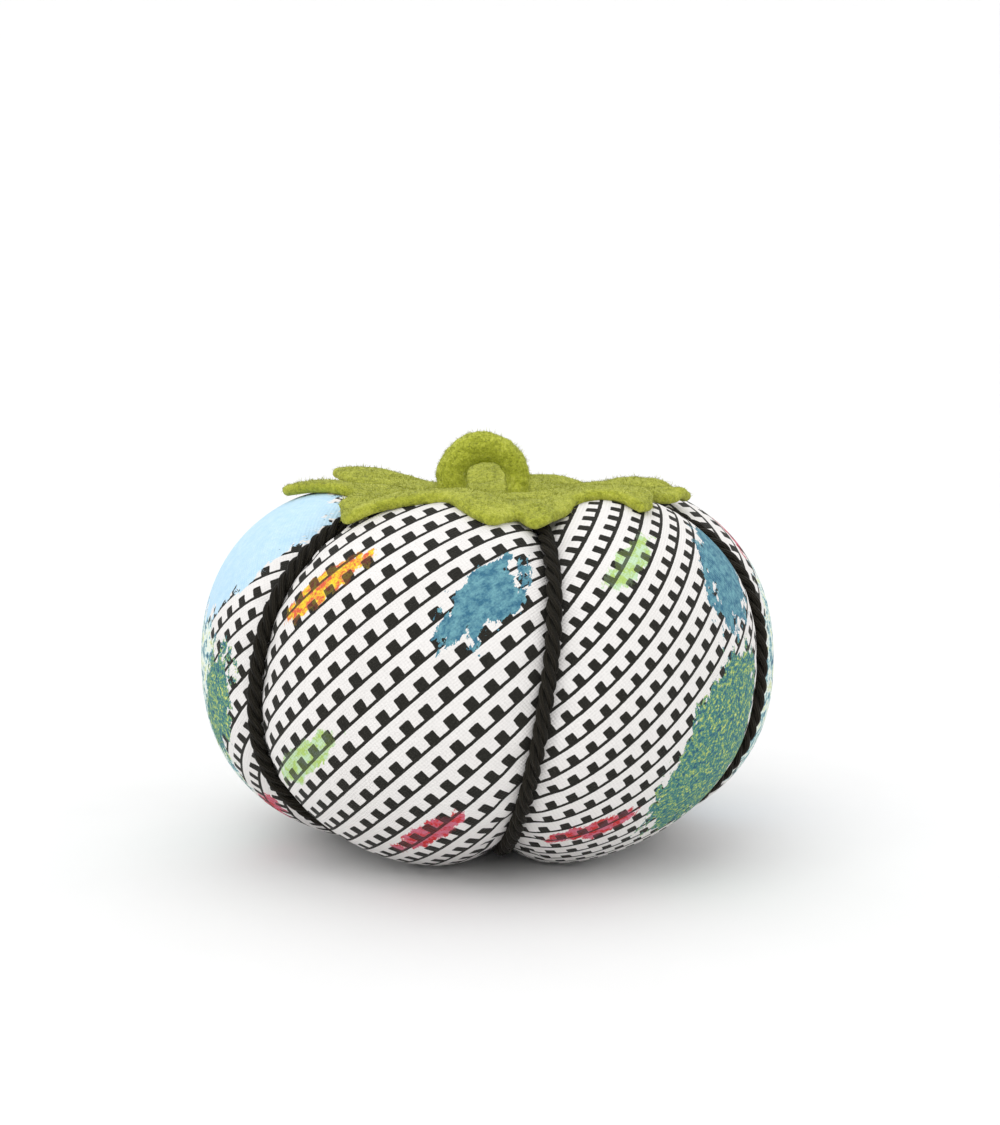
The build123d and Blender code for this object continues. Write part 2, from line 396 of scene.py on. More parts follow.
def cotton_material():
    """Plain-woven cotton with a plain geometric print: even rows of square teeth and soft blotches.

    cloth is the place on the flat fabric in mm. rows holds the distance along a row and the row
    number. style holds the row pitch, the tooth spacing and the tooth width.
    """
    s = Shader(
        "printed_cotton", Roughness=0.88, Specular_IOR_Level=0.16, Sheen_Weight=0.03, Sheen_Roughness=0.5
    )
    cloth = s.attribute("cloth")
    tooth_at, row_at, _ = s.parts(s.attribute("rows"))
    pitch, spacing, width = s.parts(s.attribute("style"))
    sky, teal, green = s.parts(s.attribute("ink_a"))
    pale, warm, pink = s.parts(s.attribute("ink_b"))
    lime, violet, _ = s.parts(s.attribute("ink_c"))

    # edges of the ink wander a little, as in a print on woven cloth
    wander = (s.noise(cloth, 0.9, 3.0) - 0.5) * 0.28
    row = row_at.floor()
    height = row_at.fract() * pitch + (s.noise(cloth, 1.3, 2.0) - 0.5) * 0.22
    share = ((tooth_at + wander) / spacing + row * 0.5).fract()
    side = (share - 0.5).size() * spacing * -1.0 + width * 0.5
    teeth = side.op("SMOOTH_MIN", height * -1.0 + pitch * 0.6, 0.35) + 0.03
    ink = teeth.above().most((height * -1.0 + 0.5).above()).most((height - pitch).above())

    fleck = s.noise(cloth, 2.2, 4.0, 0.65)
    white = s.mix(s.noise(cloth, 0.12, 2.0), (0.78, 0.755, 0.735), (0.86, 0.84, 0.825))
    color = s.mix(ink, white, s.mix(fleck, (0.009, 0.009, 0.007), (0.030, 0.028, 0.023)))

    # the same noise, stretched, makes every blotch's edge ragged
    brushed = s.add("VectorMath", operation="MULTIPLY")
    s.link(cloth, brushed.inputs[0])
    brushed.inputs[1].default_value = (0.55, 0.3, 1.0)
    ragged = (s.noise(brushed.outputs[0], 0.8, 5.0, 0.68) - 0.5) * 13.0
    mottle = s.noise(cloth, 0.72, 5.0, 0.74)
    grain = s.noise(cloth, 1.9, 3.0, 0.7)

    # blotches that cover the rows
    mixed = s.ramp(
        s.noise(cloth, 0.5, 3.0, 0.6) * 0.6 + mottle * 0.4,
        (0.40, (0.05, 0.12, 0.2)), (0.46, (0.2, 0.44, 0.48)), (0.5, (0.76, 0.85, 0.8)),
        (0.55, (0.82, 0.87, 0.78)), (0.6, (0.6, 0.68, 0.28)),
    )
    color = s.mix((pale + ragged).above(0.0, 0.3), color, mixed)
    leafy = s.ramp(
        mottle * 0.4 + grain * 0.6,
        (0.36, (0.02, 0.05, 0.14)), (0.44, (0.045, 0.16, 0.21)), (0.51, (0.08, 0.26, 0.2)),
        (0.57, (0.4, 0.52, 0.13)), (0.64, (0.72, 0.74, 0.26)),
    )
    color = s.mix((green + ragged).above(0.0, 0.15), color, leafy)
    deep = s.mix(mottle.above(0.5, 0.2), (0.045, 0.16, 0.25), (0.16, 0.37, 0.43))
    color = s.mix((teal + ragged).above(0.0, 0.15), color, deep)
    light = s.mix(mottle, (0.36, 0.62, 0.84), (0.68, 0.84, 0.92))
    color = s.mix((sky + ragged).above(0.0, 0.15), color, light)

    # thin washes, which leave the rows showing
    dry = (ink * 0.85).flip()
    for area, low, high in (
        (lime, (0.42, 0.60, 0.16), (0.55, 0.74, 0.50)),
        (warm, (0.74, 0.12, 0.06), (0.87, 0.66, 0.04)),
        (pink, (0.58, 0.035, 0.035), (0.60, 0.16, 0.24)),
        (violet, (0.28, 0.24, 0.60), (0.48, 0.52, 0.82)),
    ):
        tint = s.mix(mottle.above(0.5, 0.12), low, high)
        color = s.mix((area + ragged * 0.4).above(0.0, 0.2) * dry, color, tint)

    # plain weave: threads over and under each other, and slightly uneven yarn
    x, y, _ = s.parts(cloth)
    thread = 2 * math.pi / THREAD_PITCH
    bend = (s.noise(cloth, 0.25, 2.0) - 0.5) * 1.2
    warp = (x * thread + bend).sine()
    weft = (y * thread + bend).sine()
    weave = warp * weft
    yarn = s.noise(cloth, 1.5, 3.0)
    # the weave term paints shade and highlight into the colour where the threads cross; the yarn term is
    # the yarn's own uneven tone
    weave_shade_and_yarn_tone = weave * 0.045 + yarn * 0.10 + 0.93
    shaded = s.add("VectorMath", operation="SCALE")
    s.link(color, shaded.inputs[0])
    s.link(weave_shade_and_yarn_tone, shaded.inputs["Scale"])
    s.color(shaded.outputs[0])
    s.bump(weave * 0.55 + yarn * 0.9, 0.00009, 0.8)
    s.roughness(ink * -0.10 + 0.9 - yarn * 0.08)
    return s.material


# Each gore's print on the flat cloth, in mm: the rows' angle, pitch, tooth spacing and tooth width,
# and soft oval blotches as a kind of ink, a middle, half length, half width and angle.
BROAD, FINE = (3.4, 3.3, 1.6), (3.4, 2.8, 1.25)
PRINT = [
    ((45, 3.0, 2.8, 1.25), [
        ("green", 8, -9, 15, 9, 70), ("teal", 10, 17, 9, 6, 70),
        ("pink", -9, -21, 6, 2, 40), ("lime", -9, 20, 6, 2, 40)]),
    ((45, *BROAD), [
        ("pale", -11, 0, 18, 9, 80), ("warm", 8, 18, 7, 3, 40),
        ("sky", 10, -14, 10, 6, 70), ("pink", -8, 22, 6, 2, 40)]),
    ((-45, *BROAD), [
        ("green", -9, -10, 14, 9, 70), ("lime", 8, 20, 8, 3, -40),
        ("pink", 10, -4, 7, 2, -40), ("violet", 4, -22, 6, 2, -40)]),
    ((45, *BROAD), [
        ("sky", -9, 14, 12, 9, 70), ("green", 10, -10, 14, 8, 70),
        ("violet", -8, -18, 7, 2, 40), ("warm", 10, 20, 6, 3, 40)]),
    ((45, *FINE), [
        ("sky", 4, 22, 14, 12, 70), ("pale", 0, -8, 18, 13, 80),
        ("green", 12, -4, 9, 5, 70), ("pink", 10, -24, 6, 2, 40)]),
    ((45, *BROAD), [
        ("warm", -12, 16, 8, 2.5, 40), ("teal", 12, 15, 7, 4, 60),
        ("pink", 7, -21, 7, 2, 40), ("lime", -11, -9, 7, 2.5, 40)]),
]
INK = ("sky", "teal", "green", "pale", "warm", "pink", "lime", "violet")
NO_INK = -30  # far outside every blotch


def print_fields(gore, x, y):
    """The attributes that the printed cotton reads, for points x, y on a gore's flat cloth."""
    (angle, *style), areas = PRINT[gore]
    turn = math.radians(angle)
    one = np.ones_like(x)
    along_row = x * math.cos(turn) + y * math.sin(turn)
    row = (y * math.cos(turn) - x * math.sin(turn)) / style[0]
    inks = {kind: NO_INK * one for kind in INK}
    for kind, cx, cy, half_length, half_wide, tilt in areas:
        c, d = math.cos(math.radians(tilt)), math.sin(math.radians(tilt))
        u, v = (x - cx) * c + (y - cy) * d, (y - cy) * c - (x - cx) * d
        field = half_wide * (1 - np.hypot(u / half_length, v / half_wide))
        inks[kind] = np.maximum(inks[kind], field)
    inks = list(inks.values()) + [0 * one]
    fields = {"cloth": (x, y, 20.0 * gore * one), "rows": (along_row, row, 0 * one)}
    fields["style"] = [value * one for value in style]
    for i, name in enumerate(("ink_a", "ink_b", "ink_c")):
        fields[name] = inks[3 * i : 3 * i + 3]
    return {name: np.stack(values, -1) for name, values in fields.items()}


DENTED = 5


def puckers(turn, across, gore):
    """Small pleats that run out from the gathers and from the cord, as a height in mm."""
    r = ridge(turn)[0]
    angle = gore * 1.7 + across * math.pi * 2.3
    near_pole = np.exp(-((r - POLE) / 9.5) ** 2)
    pleats = 0.45 * near_pole * np.sin(angle * 2 + 0.6 * np.sin(angle)) * smooth_step((r - 4) / 5)
    # a ripple beside each cord, and a dent in the upper half of one lobe
    distance = along(turn)
    beside = np.exp(-(((1 - np.abs(across)) * half_width(turn) - 2.4) / 2.2) ** 2)
    side = np.sign(across)
    ripple = np.sin(distance * 0.95 + gore + side) + 0.7 * np.sin(distance * 0.53 + 2 * gore + side)
    high = np.cos(turn) > 0
    dent = 0.8 * (gore == DENTED) * high * np.exp(-(((r - 18.5) / 5.5) ** 2) - (across / 0.65) ** 2)
    return pleats + 0.085 * beside * ripple - dent


CLOTH_ROWS, CLOTH_COLUMNS = 65, 19
CLOTH_SCALE = 20.0  # the solver works best on sizes near a metre
CLOTH_FRAMES = 20
CLOTH = dict(
    quality=6, mass=0.3, air_damping=3, tension_stiffness=20, compression_stiffness=20, shear_stiffness=6,
    bending_stiffness=0.4, vertex_group_mass="sewn", shrink_min=-0.02, use_pressure=True,
    uniform_pressure_force=4.0,
)
MOST_SWELLING = 0.8


def swelling(gore):
    """How far the filling pushes a gore's cloth out, in mm over an even grid, by simulation.

    The cloth is a little larger than its place, sewn down along its seams and gathered ends."""
    rows, columns, scale = CLOTH_ROWS, CLOTH_COLUMNS, CLOTH_SCALE
    turn = turn_along(np.linspace(along(START), along(END), rows))[:, None]
    turn, across = np.broadcast_arrays(turn, np.linspace(-1, 1, columns))
    r, z = section(turn, across, -puckers(turn, across, gore))
    grid = place(r, z, gore_middle(gore) + across * GORE_ANGLE / 2)
    cloth = make_object("cloth", grid[:, ::-1].reshape(-1, 3) * scale, grid_faces(rows, columns))
    sewn = cloth.vertex_groups.new(name="sewn")
    sewn.add(rim_of(rows, columns), 1.0, "REPLACE")
    modifier = cloth.modifiers.new("cloth", "CLOTH")
    for key, value in CLOTH.items():
        setattr(modifier.settings, key, value)
    modifier.settings.effector_weights.gravity = 0
    modifier.point_cache.frame_start = 1
    modifier.point_cache.frame_end = CLOTH_FRAMES + 4
    scene = bpy.context.scene
    for number in range(1, CLOTH_FRAMES + 1):
        scene.frame_set(number)
    result = cloth.evaluated_get(bpy.context.evaluated_depsgraph_get()).to_mesh()
    moved = np.zeros(rows * columns * 3)
    result.vertices.foreach_get("co", moved)
    moved = moved.reshape(rows, columns, 3)[:, ::-1] / MM / scale - grid
    scene.frame_set(1)
    mesh = cloth.data
    bpy.data.objects.remove(cloth)
    bpy.data.meshes.remove(mesh)
    size = np.linalg.norm(moved, axis=-1, keepdims=True)
    return moved * np.minimum(1, MOST_SWELLING / np.maximum(size, 1e-6))


def between(grid, row, column):
    """A grid's values at fractional rows and columns."""
    row, column = (np.clip(at, 0, count - 1.001) for at, count in zip((row, column), grid.shape))
    i, j = row.astype(int), column.astype(int)
    u, v = row - i, column - j
    if grid.ndim > 2:
        u, v = u[..., None], v[..., None]
    low = grid[i, j] * (1 - v) + grid[i, j + 1] * v
    high = grid[i + 1, j] * (1 - v) + grid[i + 1, j + 1] * v
    return low * (1 - u) + high * u


SWELLING = {}  # each gore's simulated swelling
SUNK = 0.7  # how far its middle is set in beforehand
SWELLS_FROM, SWELLS_FULLY = 13, 23  # radii between which the swelling sets in


def gore_surface(turn, across, shrunk, gore):
    """Points on a gore's outer face. shrunk is the place across it less the sewn margin."""
    inset, swell = -puckers(turn, across, gore), 0.0
    if gore in SWELLING:
        row = (along(turn) - along(START)) / (along(END) - along(START)) * (CLOTH_ROWS - 1)
        column = (across + 1) / 2 * (CLOTH_COLUMNS - 1)
        free = smooth_step((ridge(turn)[0] - SWELLS_FROM) / (SWELLS_FULLY - SWELLS_FROM))
        inset = inset + SUNK * (1 - across**2) * free
        swell = between(SWELLING[gore], row, column) * free[..., None]
    r, z = section(turn, shrunk, inset)
    return place(r, z, gore_middle(gore) + shrunk * GORE_ANGLE / 2) + swell


GORE_ROWS, GORE_COLUMNS = 224, 84
SEWN_MARGIN = 0.3
FOLD = [(0.35, 0.25), (0.9, 0.15), (1.8, 0.06), (3.2, 0.05)]  # depth and margin of the fold


def gore_grid(gore):
    """The outer surface of a gore with the edges folded in, and its flat cloth coordinates.

    The columns are closer together towards the seams."""
    turn = turn_along(np.linspace(along(START), along(END), GORE_ROWS))[:, None]
    spread = np.linspace(-1, 1, GORE_COLUMNS)
    across = 0.7 * spread + 0.3 * np.sin(spread * math.pi / 2)
    across = np.broadcast_to(across, (GORE_ROWS, GORE_COLUMNS))
    turn = np.broadcast_to(turn, across.shape)
    shrunk = across * (1 - np.degrees(SEWN_MARGIN / section(turn, 1)[0]) / (GORE_ANGLE / 2))
    grid = gore_surface(turn, across, shrunk, gore)
    x = across * half_width(turn)
    y = along(turn)
    left, right = [], []
    turn = turn[:, 0]
    for depth, gap in FOLD:
        shallow = depth * (1 - 0.75 * np.exp(-((ridge(turn)[0] / 9) ** 2)))
        r, z = section(turn, 1, shallow)
        keep = 1 - np.degrees(gap / r) / (GORE_ANGLE / 2)
        for side, store in ((-1, left), (1, right)):
            store.append(place(r, z, gore_middle(gore) + side * keep * GORE_ANGLE / 2))
    grid = np.concatenate([np.stack(left[::-1], 1), grid, np.stack(right, 1)], 1)
    depths = np.array([depth for depth, _ in FOLD])
    x = np.concatenate([x[:, :1] - depths[::-1], x, x[:, -1:] + depths], 1)
    y = np.concatenate([y[:, :1]] * len(FOLD) + [y] + [y[:, -1:]] * len(FOLD), 1)
    return grid, x, y


def make_gores(material):
    for gore in range(GORES):
        SWELLING[gore] = swelling(gore)
        outer, x, y = gore_grid(gore)
        inner = outer + normals_of(outer) * FABRIC * 0.9  # normals point inwards here
        outer[..., 2] = np.maximum(outer[..., 2], 0.0)
        inner[..., 2] = np.maximum(inner[..., 2], FABRIC * 0.8)
        piece = slab(f"gore_{gore + 1}", outer[:, ::-1], inner[:, ::-1])
        fields = print_fields(gore, x[:, ::-1].ravel(), y[:, ::-1].ravel())
        for name, values in fields.items():
            add_attribute(piece, name, np.concatenate([values, values]))
        dress(piece, material, "printed_cotton", f"cover_panel_{gore + 1}")


# -------- cords
def cord_material():
    """Black cotton cord. ply holds the distance along a ply in mm and the angle round it."""
    s = Shader("black_cord", Roughness=0.6, Sheen_Weight=0.02, Sheen_Roughness=0.4, Specular_IOR_Level=0.12)
    along_ply, round_ply, _ = s.parts(s.attribute("ply"))
    at = s.attribute("rest")
    yarns = (round_ply * 9.0 + along_ply * 2.6 + s.noise(at, 0.8, 2.0) * 2.5).sine()
    hair = s.noise(at, 4.0, 4.0, 0.7)
    s.color(s.mix(hair * 0.7 + yarns * 0.15 + 0.1, (0.0022, 0.002, 0.0013), (0.033, 0.028, 0.019)))
    s.bump(yarns * 0.5 + hair * 0.9, 0.00012, 0.9)
    s.roughness(hair * 0.25 + 0.5)
    return s.material


PLIES, LAY = 3, 7.4  # LAY is the length of one twist
PLY_OFFSET, PLY_RADIUS = 0.62, 0.535
CORD_RINGS, PLY_SIDES = 620, 12


def cord_path(seam, count):
    """Points along a seam's cord, which way is out there, and the distance along it."""
    first = turn_at(CORD_END, UPPER_ROUND)
    last = math.pi - turn_at(CORD_END, LOWER_ROUND)
    fine = np.linspace(first, last, 1500)
    steep = np.arctan(fullness(fine) * pull(fine) / half_width(fine))
    seat = CORD_RADIUS / np.cos(steep) + CORD_GAP
    r, z = section(fine, 1, -seat)
    path = place(r, z, FIRST_SEAM + GORE_ANGLE * seam)
    run = arc_length(path)
    even = np.linspace(0, run[-1], count)
    path = resample(path, run, even)
    out_r, out_z = outward(np.interp(even, run, fine))
    flat = np.hypot(path[:, 0], path[:, 1])
    normal = np.stack([path[:, 0] / flat * out_r, path[:, 1] / flat * out_r, out_z], -1)
    return path, normal, even


def make_cords(material):
    for seam in range(GORES):
        path, normal, run = cord_path(seam, CORD_RINGS)
        normal, other = across_path(path, normal)
        from_end = np.minimum(run, run[-1] - run)
        closing = np.sqrt(np.clip(1 - (1 - np.minimum(from_end, 1)) ** 2, 0.05, 1))  # rounded ends
        points, faces, ply_data = [], [], []
        for ply in range(PLIES):
            uneven = 0.12 * np.sin(run * 0.31 + seam + ply) + 0.1 * np.sin(run * 0.83 + 2 * seam)
            turn = -2 * math.pi * (run / LAY + ply / PLIES) + uneven + seam
            offset = PLY_OFFSET * (1 + 0.03 * np.sin(run * 1.1 + ply)) * closing
            ray = np.cos(turn)[:, None] * normal + np.sin(turn)[:, None] * other
            axis = path + ray * offset[:, None]
            radius = (PLY_RADIUS + 0.02 * np.sin(run * 2.3 + ply * 2 + seam)) * closing
            first = ply * CORD_RINGS * PLY_SIDES
            last = first + (CORD_RINGS - 1) * PLY_SIDES
            points.append(tube_points(axis, normal, radius, PLY_SIDES).reshape(-1, 3))
            faces += grid_faces(CORD_RINGS, PLY_SIDES, first, wrap=True)
            faces.append(tuple(first + i for i in range(PLY_SIDES)))
            faces.append(tuple(last + i for i in reversed(range(PLY_SIDES))))
            grid = np.stack(np.broadcast_arrays(run[:, None], around(PLY_SIDES)[None], 0.0), -1)
            ply_data.append(grid.reshape(-1, 3))
        points = np.concatenate(points)
        piece = make_object(f"twisted_cord_{seam + 1}", points, faces)
        add_attribute(piece, "ply", np.concatenate(ply_data))
        finish_closed(piece, points, material, "black_cord", f"seam_cord_{seam + 1}")


# -------- felt
def felt_material(name, *stops):
    """Felt: mottled colour, a matted surface with fibres lying every way, and a soft sheen."""
    s = Shader(name, Roughness=0.95, Sheen_Weight=0.07, Sheen_Roughness=0.6)
    at = s.attribute("rest")
    blotch = s.noise(at, 0.16, 3.0)
    tuft = s.noise(at, 1.3, 4.0, 0.7)
    fibre = s.noise(at, 3.6, 3.0, 0.7)
    tone = blotch * 0.22 + tuft * 0.43 + fibre * 0.35
    s.color(s.ramp(tone, *zip((0.36, 0.47, 0.54, 0.64), stops)))
    s.bump(tuft * 0.9 + fibre * 0.6, 0.0004, 0.95)
    return s.material


FELT_FLOOR, FELT_FLOOR_RADIUS, FELT_RIM, FELT_CREST = 52.9, 8.6, 19.0, 23.0
FELT_CLEAR = 0.3
# plan angle and radius of each leaf's tip and of the notch after it, and how far its tip lifts
LEAVES = [
    ((-90, 33.5), (-82, 30.5), 0.0),
    ((-78, 33.0), (-62, 27.0), 0.1),
    ((-48, 33.5), (-32, 28.0), 0.35),
    ((-12, 31.5), (5, 25.0), 2.0),
    ((22, 32.5), (40, 23.0), 0.4),
    ((54, 32.0), (72, 23.0), 0.5),
    ((91, 32.0), (114, 20.5), 5.2),
    ((142, 32.5), (166, 19.0), 3.5),
    ((190, 32.0), (211, 24.0), 1.2),
    ((233, 33.5), (257, 28.5), 0.7),
]
LEAF_VIA = {2: [(-57, 27.2), (-51.5, 28.6)]}  # the hollowed side of one leaf
# the felt is draped over a plan grid
CELL = 0.4
SPAN = 96  # cells on each side of the axis
CUT_STEP = 0.36  # between the points of the felt's cut edge


def polar(angle, radius):
    turn = math.radians(angle)
    return np.array([math.cos(turn), math.sin(turn)]) * radius


def soften(line, sigma, wrap=True):
    """Gaussian smoothing of evenly spaced values."""
    reach = int(sigma * 3) + 1
    weight = np.exp(-0.5 * (np.arange(-reach, reach + 1) / sigma) ** 2)
    weight /= weight.sum()
    padded = np.concatenate([line[-reach:], line, line[:reach]]) if wrap else np.pad(line, reach, "edge")
    return np.convolve(padded, weight, "valid")


def soften_grid(grid, sigma):
    grid = np.stack([soften(row, sigma, False) for row in grid])
    return np.stack([soften(row, sigma, False) for row in grid.T]).T


def outward_of(line):
    """Unit vectors out of a closed line in plan that runs anticlockwise."""
    ahead = unit(np.roll(line, -1, 0) - np.roll(line, 1, 0))
    return np.stack([ahead[:, 1], -ahead[:, 0]], -1)


def star_outline():
    """The felt star's cut edge as evenly spaced points in plan."""
    line = []
    for i, ((angle, radius), notch, _) in enumerate(LEAVES):
        start, end = polar(*LEAVES[i - 1][1]), polar(*notch)
        tip = polar(angle, radius + 0.35)
        half = polar(angle + 90, 1.0)
        for a, b, via in ((start, tip - half, LEAF_VIA.get(i)), (tip + half, end, None)):
            if via:
                line += [a, *(polar(*point) for point in via)]
            else:
                bow = (b - a) @ np.array([[0, -1], [1, 0]]) * 0.1
                share = np.linspace(0, 1, 12)[:-1, None]
                rest = 1 - share
                line += list(a * rest**2 + (a + b + 2 * bow) * share * rest + b * share**2)
            line.append(b)
    line = np.array(line + line[:1])
    run = arc_length(line)
    count = int(run[-1] / CUT_STEP)
    line = resample(line, run, np.linspace(0, run[-1], count, endpoint=False))
    line = np.stack([soften(values, 0.75 / CUT_STEP) for values in line.T], -1)
    flat = np.concatenate([line, np.zeros((count, 1))], 1)
    return line + outward_of(line) * (0.16 * waves(flat, 6.0, 3) + 0.06 * waves(flat, 1.6, 4))[:, None]


def edge_distance(points, outline):
    """Distance of each point in plan to a closed line."""
    best = np.full(len(points), 1e9)
    for a, b in zip(outline, np.roll(outline, -1, 0)):
        side = b - a
        share = np.clip(((points - a) @ side) / (side @ side), 0, 1)
        best = np.minimum(best, ((points - a - share[:, None] * side) ** 2).sum(1))
    return np.sqrt(best)


def inside(points, outline):
    """Whether each point in plan is within a closed line."""
    x, y = points.T
    odd = np.zeros(len(points), bool)
    for (ax, ay), (bx, by) in zip(outline, np.roll(outline, -1, 0)):
        if ay != by:
            odd ^= ((ay > y) != (by > y)) & (x < (bx - ax) * (y - ay) / (by - ay) + ax)
    return odd


def sample(grid, points):
    """A plan grid's value at points in plan."""
    at = points / CELL + SPAN
    return between(grid, at[:, 0], at[:, 1])


def lobes_from_above():
    """Height of the lobes and cords over the plan grid."""
    top = np.zeros((2 * SPAN + 1, 2 * SPAN + 1))

    def drop(points):
        at = np.round(points[:, :2] / CELL).astype(int) + SPAN
        keep = (at >= 0).all(1) & (at <= 2 * SPAN).all(1)
        np.maximum.at(top, (at[keep, 0], at[keep, 1]), points[keep, 2])

    turn, across = np.meshgrid(np.linspace(START, 1.35, 420), np.linspace(-1, 1, 240))
    for gore in range(GORES):
        drop(gore_surface(turn, across, across, gore).reshape(-1, 3))
        path, _, _ = cord_path(gore, 1200)
        path = path[path[:, 2] > 40]
        for radius in np.linspace(0, CORD_RADIUS, 6):
            height = math.sqrt(CORD_RADIUS**2 - radius**2 + 1e-9)
            for angle in np.linspace(0, 2 * math.pi, 12, endpoint=False):
                drop(path + np.array((radius * math.cos(angle), radius * math.sin(angle), height)))
    for _ in range(3):  # fill the cells that nothing was dropped on
        near = np.max([np.roll(top, (i, j), (0, 1)) for i in (-1, 0, 1) for j in (-1, 0, 1)], 0)
        top = np.where(top > 0, top, near)
    return top


def rolled_over(grid, stiffness, reach):
    """What a stiff sheet rests on: the grid with its narrow valleys bridged."""
    shifts = np.arange(-reach, reach + 1)
    rise = stiffness * (shifts * CELL) ** 2
    for pick, sign in ((np.maximum, -1), (np.minimum, 1)):
        for axis in (0, 1):
            best = grid
            for shift, amount in zip(shifts, rise):
                best = pick(best, np.roll(grid, shift, axis) + sign * amount)
            grid = best
    return grid


def felt_profile(r):
    """Height of the felt's underside near the axis, where it is pressed into the dimple."""
    crest = top_height(FELT_CREST) + FELT_CLEAR
    rise = smooth_step((r - FELT_FLOOR_RADIUS) / (FELT_RIM - FELT_FLOOR_RADIUS))
    beyond = top_height(np.minimum(r, BODY_RADIUS - 0.1)) + FELT_CLEAR
    return np.where(r > FELT_CREST, beyond, FELT_FLOOR + (crest - FELT_FLOOR) * rise)


def felt_rest():
    """Height of the draped felt's middle over the plan grid."""
    axis = (np.arange(2 * SPAN + 1) - SPAN) * CELL
    x, y = np.meshgrid(axis, axis, indexing="ij")
    r = np.hypot(x, y)
    angle = np.degrees(np.arctan2(y, x))
    lobes = lobes_from_above()
    contact = rolled_over(lobes, 0.07, 24) + 0.05
    weight = smooth_step((r - 12.5) / 8)
    under = felt_profile(r) * (1 - weight) + contact * weight
    under = soften_grid(np.maximum(under, lobes + 0.12), 2.6)
    under = np.maximum(under, soften_grid(lobes, 0.8) + 0.12)
    for (tip, radius), _, lift in LEAVES:
        off = (angle - tip + 180) % 360 - 180
        out = np.clip((r - 19.5) / (radius - 19.5), 0, 1.1)
        under = under + lift * out**1.6 * np.exp(-((off / 17) ** 2))
    spot = np.stack([x, y, 0 * x], -1)
    under = under + np.maximum(0.16 * waves(spot, 11.0, 5), -0.05) * smooth_step((r - 10) / 8)
    under = soften_grid(under, 1.1)
    slope = np.gradient(under, CELL)
    return under + 0.5 * FELT * np.sqrt(1 + slope[0] ** 2 + slope[1] ** 2)


RING_DEPTHS = (0.04, 0.15, 0.33, 0.58, 0.9)  # rings of points inside the cut edge
LATTICE_REACH, LATTICE_ACROSS, LATTICE_UP = 36, 0.48, 0.43


def star_mesh(outline):
    """Points and triangles over the star in plan: rings along its edge and a loose lattice inside."""
    rings = []
    for depth in RING_DEPTHS:
        ring = outline - outward_of(outline) * depth
        rings.append(ring[(edge_distance(ring, outline) > depth * 0.93) & inside(ring, outline)])
    x = np.arange(-LATTICE_REACH, LATTICE_REACH, LATTICE_ACROSS)
    lattice = [
        np.stack([x + 0.24 * (i % 2), np.full(len(x), y)], -1)
        for i, y in enumerate(np.arange(-LATTICE_REACH, LATTICE_REACH, LATTICE_UP))
    ]
    lattice = np.concatenate(lattice)
    lattice += RNG.uniform(-0.08, 0.08, lattice.shape)
    lattice = lattice[inside(lattice, outline)]
    lattice = lattice[edge_distance(lattice, outline) > 1.15]
    plan = np.concatenate([outline, *rings, lattice])
    count = len(outline)
    border = [(i, (i + 1) % count) for i in range(count)]
    corners, _, triangles, origins, _, _ = delaunay_2d_cdt(
        [Vector(p) for p in plan.tolist()], border, [], 2, 1e-5
    )
    plan = np.array([tuple(c) for c in corners])
    triangles = np.array([tuple(t) for t in triangles if len(t) == 3])
    triangles = triangles[inside(plan[triangles].mean(1), outline)]
    return plan, triangles, np.array([bool(o) and min(o) < count for o in origins])


def make_calyx(material):
    outline = star_outline()
    plan, triangles, on_edge = star_mesh(outline)
    depth = np.where(on_edge, 0.0, edge_distance(plan, outline))
    middle_grid = felt_rest()
    slope = np.gradient(middle_grid, CELL)
    middle = np.concatenate([plan, sample(middle_grid, plan)[:, None]], 1)
    normal = unit(np.stack([-sample(slope[0], plan), -sample(slope[1], plan), np.ones(len(plan))], -1))
    half = 0.5 * FELT
    height = half * np.sqrt(1 - (1 - np.minimum(depth / half, 1)) ** 2)  # the cut edge is round
    bumpy = 0.05 * waves(middle, 2.6, 8) + 0.04 * waves(middle, 1.1, 9, 1)
    settle = np.minimum(depth / 0.6, 1)
    upper = middle + normal * (height + bumpy * settle)[:, None]
    lower = middle - normal * (height - 0.3 * np.abs(bumpy) * settle)[:, None]
    # both sides share the points on the cut edge
    below = np.where(on_edge, 0, len(plan)) + np.arange(len(plan))
    faces = np.concatenate([triangles, below[triangles][:, ::-1]])
    used, faces = np.unique(faces, return_inverse=True)
    points = np.concatenate([upper, lower])[used]
    faces = faces.reshape(-1, 3)
    piece = make_object("felt_calyx", points, faces.tolist())
    finish_closed(piece, points, material, "green_felt", "calyx")
    add_fuzz("calyx_fibres", piece, 13000, material)


FIBRE_LENGTH, FIBRE_RADIUS, FIBRE_ROOT = (0.2, 0.55), (0.026, 0.045), 0.08
HAIR_POINTS = 7  # two triangles of points and a tip
HAIR = [(2, 1, 0), (0, 1, 4, 3), (1, 2, 5, 4), (2, 0, 3, 5), (3, 4, 6), (4, 5, 6), (5, 3, 6)]


